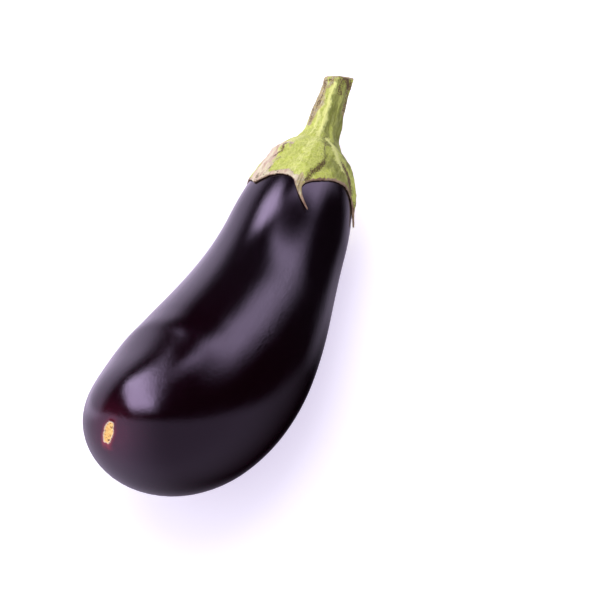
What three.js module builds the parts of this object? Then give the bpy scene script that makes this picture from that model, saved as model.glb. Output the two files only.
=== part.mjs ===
import * as THREE from 'three';

// A globe eggplant lying on its side, in millimetres. +Z is up and +X runs from the blossom end to the stem.
// The origin is the middle of the small flat spot under the belly that the fruit rests on.
// The fruit is one solid. The calyx and the stem grew as one piece, which sits on the fruit's shoulder.

// The fruit's core is a bent line from the blossom end to the top of the shoulder.
const CORE_BLOSSOM_END = new THREE.Vector3(-77, 17, 85.5);
const CORE_BELLY_PULL = new THREE.Vector3(-66, -14, 38);
const CORE_NECK_PULL = new THREE.Vector3(-1.5, -7, 29.5);
const CORE_SHOULDER_END = new THREE.Vector3(106, 24.5, 29.5);

// The fruit's thickness along that line.
const BELLY_RADIUS = 39.6;
const BELLY_PLACE = 69;
const BELLY_ROUNDNESS = 2.55;
const NECK_RADIUS = 28.4;
const NECK_PLACE = 156;
const NECK_TAPER = 0.09;
const SHOULDER_ROUNDNESS = 2.25;

// The blossom scar: a shallow oval dish with a low rim, a little to one side of the blossom end.
const SCAR_PLACE = 4.3;
const SCAR_TURN = THREE.MathUtils.degToRad(185);
const SCAR_LENGTH = 10.8;
const SCAR_WIDTH = 5.8;
const SCAR_SLANT = THREE.MathUtils.degToRad(112);
const SCAR_DEPTH = 0.45;
const SCAR_RIM = 0.2;
const SCAR_RIM_WIDTH = 0.16;

// The calyx lobes, each with its direction round the fruit in degrees, how far its tip reaches back
// from the top of the shoulder, and how much further a thin dry thread runs on from the tip and curls.
const LOBES = [
  { turn: 46, reach: 40, thread: 0, curl: 0 },
  { turn: 94, reach: 40.5, thread: 13, curl: 15 },
  { turn: 172, reach: 33, thread: 8, curl: 6 },
  { turn: 246, reach: 39, thread: 3, curl: -4 },
  { turn: 318, reach: 40, thread: 5, curl: 8 },
];

// The bays between the lobes: bay n lies between lobe n and the next.
const BAYS = [
  { turn: 76, reach: 35.8 },
  { turn: 146, reach: 27.2 },
  { turn: 211, reach: 29 },
  { turn: 282, reach: 30 },
  { turn: 365, reach: 31 },
];
const BAY_SHARPNESS = 1.7;
const THREAD_HALF_WIDTH = 1.5;
const THREAD_CURL_POWER = 1.5;
const CALYX_GAP = 0.4;
const CALYX_EDGE_THICKNESS = 0.8;
const CALYX_CROWN_THICKNESS = 1.6;
const CALYX_THREAD_LIFT = 0.8;

// The stem stands on the shoulder in line with the core. Each station is a distance above the top of
// the shoulder and a radius there, from the cut end down to the flare. The cut is aslant, lowest in
// one direction round the stem.
const STEM_LENGTH = 41;
const STEM_STATIONS = [
  [41, 6.1],
  [40, 6.5],
  [35, 6.5],
  [31, 6.5],
  [27, 6.8],
  [22, 7.2],
  [16, 7.6],
  [11, 8.0],
  [7, 8.4],
  [4, 9.0],
  [1.5, 10.4],
];
const CUT_SLANT = THREE.MathUtils.degToRad(30);
const CUT_LOW_TURN = THREE.MathUtils.degToRad(66);
const CUT_SLANT_FADE = 6;
const CUT_DISH = 0.4;
const STEM_RIB_HEIGHT = 0.45;
const CAP_START = 4;

// How finely the surfaces are divided.
const FRUIT_COLUMNS = 64;
const BLOSSOM_RINGS = 14;
const BLOSSOM_RING_ANGLE = THREE.MathUtils.degToRad(1.9);
const BELLY_RINGS = 9;
const MID_RINGS = 12;
const SHOULDER_RINGS = 12;
const COLUMNS_BETWEEN_TIP_AND_BAY = 7;
const THREAD_COLUMN = 0.8;
const FIRST_LOBE_COLUMN = 2;
const CAP_OUTER_RINGS = 11;
const CAP_INNER_RINGS = 10;
const INNER_RING_SPREAD = 1.5;

const UP = new THREE.Vector3(0, 0, 1);

const core = new THREE.CubicBezierCurve3(
  CORE_BLOSSOM_END,
  CORE_BELLY_PULL,
  CORE_NECK_PULL,
  CORE_SHOULDER_END,
);
core.arcLengthDivisions = 800;
const coreLength = core.getLength();

// The fruit's radius at a distance along the core.
function fruitRadius(along) {
  if (along < BELLY_PLACE) {
    const fall = 1 - Math.max(0, along) / BELLY_PLACE;
    return BELLY_RADIUS * Math.sqrt(1 - fall ** BELLY_ROUNDNESS);
  }
  if (along < NECK_PLACE) {
    const span = NECK_PLACE - BELLY_PLACE;
    const t = (along - BELLY_PLACE) / span;
    const fromBelly = 2 * t ** 3 - 3 * t ** 2 + 1;
    return fromBelly * BELLY_RADIUS + (1 - fromBelly) * NECK_RADIUS - (t ** 3 - t ** 2) * NECK_TAPER * span;
  }
  const w = Math.min(1, (along - NECK_PLACE) / (coreLength - NECK_PLACE));
  const neck = NECK_RADIUS - NECK_TAPER * (along - NECK_PLACE) * (1 - w);
  return neck * Math.sqrt(Math.max(0, 1 - w ** SHOULDER_ROUNDNESS));
}

// The core's point, direction and the two directions across it.
function coreFrame(along) {
  const u = THREE.MathUtils.clamp(along / coreLength, 0, 1);
  const point = core.getPointAt(u);
  const ahead = core.getTangentAt(u);
  const side = new THREE.Vector3().crossVectors(UP, ahead).normalize();
  const top = new THREE.Vector3().crossVectors(ahead, side);
  return { point, ahead, side, top };
}

// The direction straight out from the core at a turn round it, in radians.
function outward(frame, turn) {
  const out = frame.side.clone().multiplyScalar(Math.cos(turn));
  return out.addScaledVector(frame.top, Math.sin(turn));
}

// The fruit's bare surface and its normal, at a distance along the core and a turn round it.
function fruitPoint(along, turn) {
  const frame = coreFrame(along);
  return frame.point.clone().addScaledVector(outward(frame, turn), fruitRadius(along));
}

function fruitNormal(along, turn) {
  const step = 0.05;
  const near = Math.max(along - step, 0);
  const far = Math.min(along + step, coreLength);
  const slope = (fruitRadius(far) - fruitRadius(near)) / (far - near);
  const frame = coreFrame(along);
  return outward(frame, turn).addScaledVector(frame.ahead, -slope).normalize();
}

// Joins rings of points, from one end point to the other, into one closed mesh that faces out.
function closedSkin(startPoint, rings, endPoint) {
  const columns = rings[0].length;
  const points = [startPoint, ...rings.flat(), endPoint];
  const last = points.length - 1;
  const at = (ring, column) => 1 + ring * columns + (column % columns);
  const faces = [];
  for (let c = 0; c < columns; c += 1) {
    faces.push(0, at(0, c + 1), at(0, c));
    for (let r = 0; r < rings.length - 1; r += 1) {
      faces.push(at(r, c), at(r, c + 1), at(r + 1, c + 1));
      faces.push(at(r, c), at(r + 1, c + 1), at(r + 1, c));
    }
    faces.push(last, at(rings.length - 1, c), at(rings.length - 1, c + 1));
  }
  const geometry = new THREE.BufferGeometry();
  geometry.setAttribute('position', new THREE.Float32BufferAttribute(points.flatMap((p) => p.toArray()), 3));
  geometry.setIndex(faces);
  geometry.computeVertexNormals();
  return geometry;
}

// The scar's middle and the two directions across it.
function scarFrame() {
  const middle = fruitPoint(SCAR_PLACE, SCAR_TURN);
  const normal = fruitNormal(SCAR_PLACE, SCAR_TURN);
  const level = new THREE.Vector3().crossVectors(UP, normal).normalize();
  const rise = new THREE.Vector3().crossVectors(normal, level);
  const long = level.clone().multiplyScalar(Math.cos(SCAR_SLANT)).addScaledVector(rise, Math.sin(SCAR_SLANT));
  const across = new THREE.Vector3().crossVectors(normal, long);
  return { middle, normal, long, across };
}

// How far the scar raises or sinks the skin at a point.
function scarRelief(point, scar) {
  const offset = point.clone().sub(scar.middle);
  const alongScar = offset.dot(scar.long) / (SCAR_LENGTH / 2);
  const acrossScar = offset.dot(scar.across) / (SCAR_WIDTH / 2);
  const reach = Math.hypot(alongScar, acrossScar);
  const dish = reach < 1 ? -SCAR_DEPTH * (1 - reach ** 2) : 0;
  const rim = SCAR_RIM * Math.exp(-(((reach - 1) / SCAR_RIM_WIDTH) ** 2));
  return offset.dot(scar.normal) < -BELLY_RADIUS / 2 ? 0 : dish + rim;
}

function fruitStations() {
  const stations = [];
  for (let i = 1; i <= BLOSSOM_RINGS; i += 1) {
    stations.push(BELLY_PLACE * (1 - Math.cos(i * BLOSSOM_RING_ANGLE)));
  }
  const domeStart = BLOSSOM_RINGS * BLOSSOM_RING_ANGLE;
  for (let i = 1; i <= BELLY_RINGS; i += 1) {
    const angle = domeStart + ((Math.PI / 2 - domeStart) * i) / BELLY_RINGS;
    stations.push(BELLY_PLACE * (1 - Math.cos(angle)));
  }
  for (let i = 1; i <= MID_RINGS; i += 1) {
    stations.push(BELLY_PLACE + ((NECK_PLACE - BELLY_PLACE) * i) / MID_RINGS);
  }
  for (let i = 1; i < SHOULDER_RINGS; i += 1) {
    const w = Math.sin(((Math.PI / 2) * i) / SHOULDER_RINGS) ** (2 / SHOULDER_ROUNDNESS);
    stations.push(NECK_PLACE + (coreLength - NECK_PLACE) * w);
  }
  return stations;
}

function fruitGeometry() {
  const scar = scarFrame();
  const rings = fruitStations().map((along) => {
    const ring = [];
    for (let c = 0; c < FRUIT_COLUMNS; c += 1) {
      const turn = (2 * Math.PI * c) / FRUIT_COLUMNS;
      const point = fruitPoint(along, turn);
      point.addScaledVector(fruitNormal(along, turn), scarRelief(point, scar));
      point.z = Math.max(point.z, 0);
      ring.push(point);
    }
    return ring;
  });
  return closedSkin(CORE_BLOSSOM_END.clone(), rings, CORE_SHOULDER_END.clone());
}

// The columns of the calyx: close together at each lobe's tip, then evenly out to the bays beside it.
function calyxColumns() {
  const columns = [];
  LOBES.forEach((lobe, n) => {
    const before = BAYS[(n + BAYS.length - 1) % BAYS.length];
    const after = BAYS[n];
    const beforeTurn = before.turn > lobe.turn ? before.turn - 360 : before.turn;
    const column = (turn, bay, bayTurn) => {
      const share = Math.abs(turn - lobe.turn) / Math.abs(bayTurn - lobe.turn);
      const body = bay.reach + (lobe.reach - bay.reach) * (1 - share) ** BAY_SHARPNESS;
      const thread = lobe.thread * Math.exp(-(((turn - lobe.turn) / THREAD_HALF_WIDTH) ** 2));
      columns.push({ turn, reach: body + thread, lobe, share });
    };
    const steps = COLUMNS_BETWEEN_TIP_AND_BAY;
    const offsets = (bayTurn) => {
      const wide = Math.abs(bayTurn - lobe.turn);
      const first = FIRST_LOBE_COLUMN * THREAD_HALF_WIDTH;
      const list = [THREAD_COLUMN * THREAD_HALF_WIDTH];
      for (let i = 0; i < steps - 1; i += 1) {
        list.push(first + ((wide - first) * i) / (steps - 1));
      }
      return list;
    };
    offsets(beforeTurn).reverse().forEach((offset) => column(lobe.turn - offset, before, beforeTurn));
    column(lobe.turn, after, after.turn);
    offsets(after.turn).forEach((offset) => column(lobe.turn + offset, after, after.turn));
    column(after.turn, after, after.turn);
  });
  return columns;
}

// A point over the fruit's shoulder, some way back from its top along a column, and above the skin.
function overShoulder(column, back, height) {
  const thread = Math.max(0, back - column.lobe.reach) / Math.max(1, column.lobe.thread);
  const turn = THREE.MathUtils.degToRad(column.turn + column.lobe.curl * Math.min(1, thread) ** THREAD_CURL_POWER);
  const lift = CALYX_THREAD_LIFT * Math.min(1, thread) ** 2;
  const along = coreLength - back;
  const point = fruitPoint(along, turn);
  return point.addScaledVector(fruitNormal(along, turn), height + lift);
}

function calyxAndStemGeometry() {
  const columns = calyxColumns();
  const top = coreFrame(coreLength);
  const rib = (column) => 1 - column.share;
  const rings = STEM_STATIONS.map(([rise, radius]) => columns.map((column) => {
    const turn = THREE.MathUtils.degToRad(column.turn);
    const fall = Math.tan(CUT_SLANT) * radius * Math.cos(turn - CUT_LOW_TURN);
    const aslant = fall * (rise / STEM_LENGTH) ** CUT_SLANT_FADE;
    const centre = top.point.clone().addScaledVector(top.ahead, rise - aslant);
    return centre.addScaledVector(outward(top, turn), radius + STEM_RIB_HEIGHT * rib(column));
  }));
  for (let r = 0; r <= CAP_OUTER_RINGS; r += 1) {
    rings.push(columns.map((column) => {
      const share = r / CAP_OUTER_RINGS;
      const back = CAP_START + (column.reach - CAP_START) * share;
      const thickness = CALYX_EDGE_THICKNESS + (CALYX_CROWN_THICKNESS - CALYX_EDGE_THICKNESS) * (1 - share) ** 2;
      const ridge = STEM_RIB_HEIGHT * rib(column) * (1 - share);
      return overShoulder(column, back, CALYX_GAP + thickness + ridge);
    }));
  }
  for (let r = CAP_INNER_RINGS; r >= 1; r -= 1) {
    rings.push(columns.map((column) => {
      const back = column.reach * (r / CAP_INNER_RINGS) ** INNER_RING_SPREAD;
      return overShoulder(column, back, CALYX_GAP);
    }));
  }
  const cutMiddle = top.point.clone().addScaledVector(top.ahead, STEM_LENGTH - CUT_DISH);
  const innerTop = top.point.clone().addScaledVector(top.ahead, CALYX_GAP);
  return closedSkin(innerTop, rings.reverse(), cutMiddle);
}

const skin = new THREE.MeshStandardMaterial({ color: '#1d1020', roughness: 0.18, metalness: 0 });
const green = new THREE.MeshStandardMaterial({ color: '#9fae55', roughness: 0.65, metalness: 0 });

const fruit = new THREE.Mesh(fruitGeometry(), skin);
fruit.name = 'fruit';

const calyxAndStem = new THREE.Mesh(calyxAndStemGeometry(), green);
calyxAndStem.name = 'calyx_and_stem';

const eggplant = new THREE.Group();
eggplant.name = 'eggplant';
eggplant.add(fruit, calyxAndStem);

export default eggplant;
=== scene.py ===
import math

import bpy
from bpy.props import FloatProperty, FloatVectorProperty, IntProperty, PointerProperty
from mathutils import Matrix, Vector, noise


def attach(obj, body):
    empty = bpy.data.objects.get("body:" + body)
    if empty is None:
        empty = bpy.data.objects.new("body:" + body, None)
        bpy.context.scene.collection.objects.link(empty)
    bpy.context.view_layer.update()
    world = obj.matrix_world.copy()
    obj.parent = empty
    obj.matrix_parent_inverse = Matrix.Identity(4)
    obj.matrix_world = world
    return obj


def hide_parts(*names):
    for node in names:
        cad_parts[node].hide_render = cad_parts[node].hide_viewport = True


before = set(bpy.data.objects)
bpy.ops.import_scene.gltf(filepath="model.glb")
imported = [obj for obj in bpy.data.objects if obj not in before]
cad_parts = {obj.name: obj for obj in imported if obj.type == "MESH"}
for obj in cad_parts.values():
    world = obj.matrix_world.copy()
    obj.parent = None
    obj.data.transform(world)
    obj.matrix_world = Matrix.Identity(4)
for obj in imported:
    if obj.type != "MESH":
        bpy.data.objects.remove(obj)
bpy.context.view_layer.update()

bl_info = {
    "name": "Eggplant",
    "version": (1, 0, 0),
    "blender": (4, 5, 0),
    "location": "3D View > Sidebar > Eggplant",
    "description": "Models a globe eggplant that lies on its side, with its calyx, stem and blossom scar",
    "category": "Object",
}

MM = 0.001
BODY = "root"

# The stretch of the core over which the slope of the skin is measured, to each side.
SLOPE_STEP = 0.05 * MM

# The seed of the straying outlines of the calyx's patches, which would differ in every run without one.
PATCH_SEED = 1

# The calyx lobes: the direction of each round the fruit, how far its tip reaches back from the top of
# the shoulder, how much further a dry thread runs on from the tip, and how far that thread curls round.
LOBES = (
    {"turn": 46, "reach": 40, "thread": 0, "curl": 0},
    {"turn": 94, "reach": 40.5, "thread": 13, "curl": 15},
    {"turn": 172, "reach": 33, "thread": 6, "curl": 6},
    {"turn": 246, "reach": 39, "thread": 3, "curl": -4},
    {"turn": 318, "reach": 40, "thread": 5, "curl": 8},
)

# The bays between the lobes: bay n lies between lobe n and the next.
BAYS = (
    {"turn": 76, "reach": 35.8},
    {"turn": 146, "reach": 27.2},
    {"turn": 211, "reach": 29},
    {"turn": 282, "reach": 30},
    {"turn": 365, "reach": 31},
)

# The stem's thickness: pairs of a distance above the top of the shoulder and a radius there, in mm.
STEM_STATIONS = (
    (1.5, 10.4),
    (4, 9.0),
    (7, 8.4),
    (11, 8.0),
    (16, 7.6),
    (22, 7.2),
    (27, 6.8),
    (31, 6.5),
    (35, 6.5),
    (40, 6.4),
    (41, 5.8),
)

# Relief of the calyx and stem. Each line runs through places given as a distance back from the top of the
# shoulder in mm, less than nothing on the stem, and a direction round the fruit in degrees. It stands as
# high and as wide as it says, in mm.
FOLDS = (
    {"height": 0.9, "width": 5.0, "path": ((6, 101), (14, 103), (22, 101), (30, 97), (38, 95))},
    {"height": -1.2, "width": 1.4,
     "path": ((12, 111), (17, 113), (22, 114.5), (27, 110), (33, 104.5), (38, 102))},
    {"height": 0.7, "width": 1.5,
     "path": ((10, 106), (17, 107.5), (22, 108.5), (27, 103.5), (33, 98.5), (37, 96))},
    {"height": 1.3, "width": 2.2, "path": ((13, 64), (16, 54), (17, 45), (15.5, 29))},
    {"height": -0.6, "width": 1.0, "path": ((16.5, 66), (20, 61), (24, 55))},
    {"height": 0.7, "width": 0.9, "path": ((24, 62), (31.2, 58.5), (38.6, 54.5))},
    {"height": 0.35, "width": 0.6, "path": ((26, 52), (33, 51), (40, 49))},
    {"height": 0.35, "width": 0.6, "path": ((26, 45), (33, 46), (40, 47))},
    {"height": 0.6, "width": 1.6, "path": ((5, 122), (12, 127), (20, 137), (28, 150))},
    {"height": 0.7, "width": 2.2, "path": ((8, 160), (20, 168), (32, 172))},
    {"height": -0.5, "width": 1.6, "path": ((8, 200), (20, 206), (27, 211))},
    {"height": 0.8, "width": 2.4, "path": ((8, 240), (20, 244), (36, 246))},
    {"height": -0.5, "width": 1.5, "path": ((10, 280), (22, 282), (29, 282))},
    {"height": 0.8, "width": 2.4, "path": ((8, 322), (20, 318), (36, 318))},
    {"height": -0.5, "width": 1.5, "path": ((12, 2), (22, 4), (30, 5))},
    {"height": 0.4, "width": 0.8, "path": ((-33, 86), (-16, 97), (-8, 97), (2, 96))},
    {"height": 0.35, "width": 0.7, "path": ((-24, 64), (-15, 70), (-7, 73), (2, 76))},
)

# Patches of each colour on the calyx and stem, with their paths as above. A patch is as strong as it says
# in the middle of its path, and fades across it over its width in mm.
PATCHES = {
    "brown": (
        {"width": 0.6, "strength": 0.62, "path": ((10, 109), (17, 110.5), (21, 112))},
        {"width": 1.15, "strength": 0.85, "path": ((21, 112), (25.6, 107.8), (32.1, 101.9), (38, 98.5))},
        {"width": 0.6, "strength": 0.85, "path": ((15, 60), (19, 57.5), (23.5, 52))},
        {"width": 0.4, "strength": 0.7, "path": ((24, 61.5), (31.2, 57.8), (38.6, 54))},
        {"width": 1.8, "strength": 0.62, "path": ((37, 48), (41, 46))},
        {"width": 0.6, "strength": 0.5, "path": ((34, 66), (37, 74), (37, 82))},
        {"width": 2.3, "strength": 0.95, "path": ((16, 142), (21.2, 150.2), (27, 158))},
        {"width": 2.0, "strength": 0.6, "path": ((28, 170), (36, 172))},
        {"width": 2.6, "strength": 1.0, "path": ((-41, 118), (-39, 128), (-38, 142), (-36, 162))},
        {"width": 1.5, "strength": 0.6, "path": ((-38, 112), (-33, 115), (-28, 120))},
        {"width": 1.7, "strength": 0.55, "path": ((-38, 158), (-30, 164), (-22, 168), (-16, 172))},
        {"width": 2.0, "strength": 0.55, "path": ((-36.5, 30), (-36, 56), (-37, 78))},
        {"width": 1.0, "strength": 0.56, "path": ((-35, 42), (-29, 56), (-22, 54), (-17, 46))},
        {"width": 1.2, "strength": 0.6, "path": ((-20, 30), (-12, 40), (-8, 46))},
        {"width": 1.4, "strength": 0.7, "path": ((-40, 210), (-37, 250), (-39, 300))},
        {"width": 0.6, "strength": 0.8, "path": ((14, 196), (22, 205), (27, 210))},
        {"width": 0.6, "strength": 0.8, "path": ((20, 284), (26, 282), (30, 281))},
        {"width": 0.6, "strength": 0.7, "path": ((16, 10), (24, 7), (30, 5))},
    ),
    "paper": (
        {"width": 6.2, "strength": 1.0, "path": ((26, 43), (33, 44), (41, 46))},
        {"width": 3.2, "strength": 1.0, "path": ((14, 57), (16, 46), (15, 26))},
        {"width": 6.0, "strength": 1.0, "path": ((18, 36), (24, 44), (32, 48), (40, 49))},
        {"width": 2.2, "strength": 1.0, "path": ((36, 58), (36, 68), (35, 80), (38.5, 91))},
        {"width": 3.0, "strength": 0.9, "path": ((34, 318), (42, 320))},
        {"width": 2.6, "strength": 0.9, "path": ((33, 246), (40, 245))},
    ),
    "husk": (
        {"width": 2.8, "strength": 0.95, "path": ((-40, 40), (-30, 46), (-22, 50), (-14, 46), (-9, 44))},
        {"width": 1.7, "strength": 0.85, "path": ((-40, 84), (-36, 78), (-31, 68))},
        {"width": 1.8, "strength": 0.6, "path": ((-36, 160), (-28, 158), (-20, 162))},
        {"width": 2.4, "strength": 0.8, "path": ((37, 94), (48, 96))},
    ),
    "pale": (
        # Painted highlight: this strip beside the brown fold stands in for a glossy highlight; the other
        # pale patches are lighter green.
        {"width": 1.7, "strength": 1.0, "path": ((2, 113), (9, 121.7), (16.4, 131.5), (20, 137))},
        {"width": 1.5, "strength": 0.9, "path": ((-35, 86), (-24, 88), (-16, 94), (-8, 94), (3, 92))},
        {"width": 1.1, "strength": 0.9, "path": ((-24, 64), (-15, 70), (-7, 73), (2, 76))},
        {"width": 3.0, "strength": 0.7, "path": ((3, 60), (10, 56), (20, 50))},
        {"width": 3.6, "strength": 0.55, "path": ((8, 92), (18, 88), (28, 84), (34, 88))},
    ),
    # Painted shade: darker green laid over the right-hand lobe and down the stem's right-hand side, where
    # the light falls off.
    "painted_shade": (
        {"width": 6.0, "strength": 0.9, "path": ((20, 124), (25, 134), (26, 148))},
        {"width": 2.2, "strength": 1.0, "path": ((-36, 110), (-20, 114), (-9, 112), (0, 112), (10, 111))},
        {"width": 5.5, "strength": 0.85, "path": ((-34, 140), (-18, 148), (-8, 150), (2, 150), (12, 158))},
    ),
}

# How many of its widths away from its path a fold or patch ends.
PATH_REACH = 3

# Gentle swells of the skin: the middle of each as a distance along the core in mm and a direction in
# degrees, its height in mm, and how far it spreads along the core in mm and round it in degrees.
SWELLS = (
    {"along": 166, "turn": 108, "height": 1.25, "length": 13, "spread": 38},
    {"along": 130, "turn": 108, "height": -1.1, "length": 14, "spread": 38},
    {"along": 17, "turn": 42, "height": 1.1, "length": 9, "spread": 36},
)

# Where the skin is scuffed by fine scratches: places as above, and how far each spreads.
SCUFFS = (
    {"along": 9, "turn": 82, "length": 4, "spread": 12},
    {"along": 40, "turn": 112, "length": 12, "spread": 8},
    {"along": 95, "turn": 118, "length": 30, "spread": 6},
    {"along": 60, "turn": 40, "length": 25, "spread": 10},
)

# The blossom scar's relief in mm: how deep its dish is, how high its torn rim, how deep and how wide the
# dimple round it, and how far the red glow spreads.
SCAR_RELIEF = {"dish": 0.45, "rim": 0.22, "dimple": 0.5, "dimple_spread": 6, "glow_spread": 12}

# Waves of the calyx and of the stem, coarse to fine: how much finer each is than the first, and its height
# in mm.
CALYX_WAVES = ((1, 0.5), (2.7, 0.28), (7, 0.12))
STEM_WAVES = ((1, 0.5), (3.1, 0.28), (8, 0.12))

# What the waxy skin mirrors: soft bright cards far away all round. A card is seen in the directions that
# lie past each of its edges. An edge is a line across the sky, given in the camera's right, up and back
# directions, and the card goes from dark to bright between the two numbers that follow.
CARDS = (
    {"name": "left_box", "radiance": 9.6, "edges": (
        ((1, 0.75, 0.3), 0.0, 0.12), ((-1, -0.13, 0.25), 0.03, 0.24),
        ((0, 0.15, 1), -0.08, 0.22), ((0, 1, 0), 0.25, 0.62))},
    {"name": "right_box", "radiance": 3.9, "edges": (
        ((1, 0, 1.2), 0.10, 0.48), ((-1, 0, 0), -0.84, -0.60),
        ((0, 0, -1), -0.42, -0.10), ((0, 1, 0), 0.2, 0.5))},
    {"name": "left_card", "radiance": 1.3, "edges": (
        ((-0.65, 0, -1), 0.55, 0.90), ((-1, 0, 0), 0.0, 0.15), ((0, 1, 0), -0.05, 0.2))},
    {"name": "right_card", "radiance": 0.65, "edges": (
        ((0, 0, -1), 0.54, 0.85), ((1, 0, 0), 0.0, 0.3), ((0, 1, 0), -0.12, 0.05))},
    {"name": "low_card", "radiance": 0.6, "edges": (
        ((-0.14, -1, 0), -0.17, 0.0), ((0, 0, 1), -0.85, 0.15))},
    {"name": "low_card_end", "radiance": 1.0, "edges": (
        ((-0.14, -1, 0), -0.17, 0.0), ((-1, 0, 0), -0.35, 0.75))},
)


class EggplantFruitSizes(bpy.types.PropertyGroup):
    """The fruit's core line, its thickness along that line and its blossom scar"""

    blossom_end: FloatVectorProperty(
        name="Blossom end", description="Where the core line starts",
        default=(-0.077, 0.017, 0.0855), subtype="TRANSLATION", unit="LENGTH")
    belly_pull: FloatVectorProperty(
        name="Belly pull", description="The point that the core line leaves the blossom end towards",
        default=(-0.066, -0.014, 0.038), subtype="TRANSLATION", unit="LENGTH")
    neck_pull: FloatVectorProperty(
        name="Neck pull", description="The point that the core line reaches the shoulder from",
        default=(-0.0015, -0.007, 0.0295), subtype="TRANSLATION", unit="LENGTH")
    shoulder_end: FloatVectorProperty(
        name="Shoulder end", description="Where the core line ends, under the stem",
        default=(0.106, 0.0245, 0.0295), subtype="TRANSLATION", unit="LENGTH")
    belly_radius: FloatProperty(
        name="Belly radius", description="The fruit's greatest radius", default=0.0396, unit="LENGTH")
    belly_place: FloatProperty(
        name="Belly place", description="How far along the core the belly is", default=0.069, unit="LENGTH")
    belly_roundness: FloatProperty(
        name="Belly roundness", description="The blossom end's exponent: higher is squarer", default=2.55)
    neck_radius: FloatProperty(
        name="Neck radius", description="The radius where the shoulder starts",
        default=0.0284, unit="LENGTH")
    neck_place: FloatProperty(
        name="Neck place", description="How far along the core the shoulder starts",
        default=0.156, unit="LENGTH")
    neck_taper: FloatProperty(
        name="Neck taper", description="How fast the neck still narrows at the shoulder", default=0.09)
    shoulder_roundness: FloatProperty(
        name="Shoulder roundness", description="The shoulder's exponent: higher is squarer", default=2.25)
    columns: IntProperty(name="Columns", description="How many strips go round the fruit", default=224)
    unevenness: FloatProperty(
        name="Unevenness", description="How far the skin strays in and out", default=0.0006, unit="LENGTH")
    unevenness_size: FloatProperty(
        name="Unevenness size", description="How far apart the skin's high and low places are",
        default=0.045, unit="LENGTH")
    scar_place: FloatProperty(
        name="Scar place", description="How far along the core the scar is", default=0.0043, unit="LENGTH")
    scar_turn: FloatProperty(
        name="Scar turn", description="The scar's direction round the core",
        default=math.radians(185), subtype="ANGLE", unit="ROTATION")
    scar_length: FloatProperty(
        name="Scar length", description="The scar's long side", default=0.0103, unit="LENGTH")
    scar_width: FloatProperty(
        name="Scar width", description="The scar's short side", default=0.0050, unit="LENGTH")
    scar_slant: FloatProperty(
        name="Scar slant", description="How far the long side is turned up from level",
        default=math.radians(112), subtype="ANGLE", unit="ROTATION")


class EggplantCalyxSizes(bpy.types.PropertyGroup):
    """The calyx's leaf and the stem"""

    gap: FloatProperty(
        name="Gap", description="The space between the calyx and the skin", default=0.0003, unit="LENGTH")
    edge_thickness: FloatProperty(
        name="Edge thickness", description="The calyx's thickness at its edge",
        default=0.0006, unit="LENGTH")
    crown_thickness: FloatProperty(
        name="Crown thickness", description="The calyx's thickness at the stem",
        default=0.0016, unit="LENGTH")
    stem_length: FloatProperty(
        name="Stem length", description="From the top of the shoulder to the cut",
        default=0.0409, unit="LENGTH")
    cut_slant: FloatProperty(
        name="Cut slant", description="How far the cut leans",
        default=math.radians(30), subtype="ANGLE", unit="ROTATION")
    cut_low_turn: FloatProperty(
        name="Cut low turn", description="The direction round the stem where the cut is lowest",
        default=math.radians(66), subtype="ANGLE", unit="ROTATION")
    rib_height: FloatProperty(
        name="Rib height", description="How far the ribs stand out", default=0.00055, unit="LENGTH")
    bay_sharpness: FloatProperty(
        name="Bay sharpness", description="How pointed the lobes are", default=1.7)
    tatter: FloatProperty(
        name="Tatter", description="How far the calyx's dry edge strays", default=0.0005, unit="LENGTH")
    thread_half_width: FloatProperty(
        name="Thread half width", description="Half the width of a lobe's dry thread, round the fruit",
        default=math.radians(1.5), subtype="ANGLE", unit="ROTATION")


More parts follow.
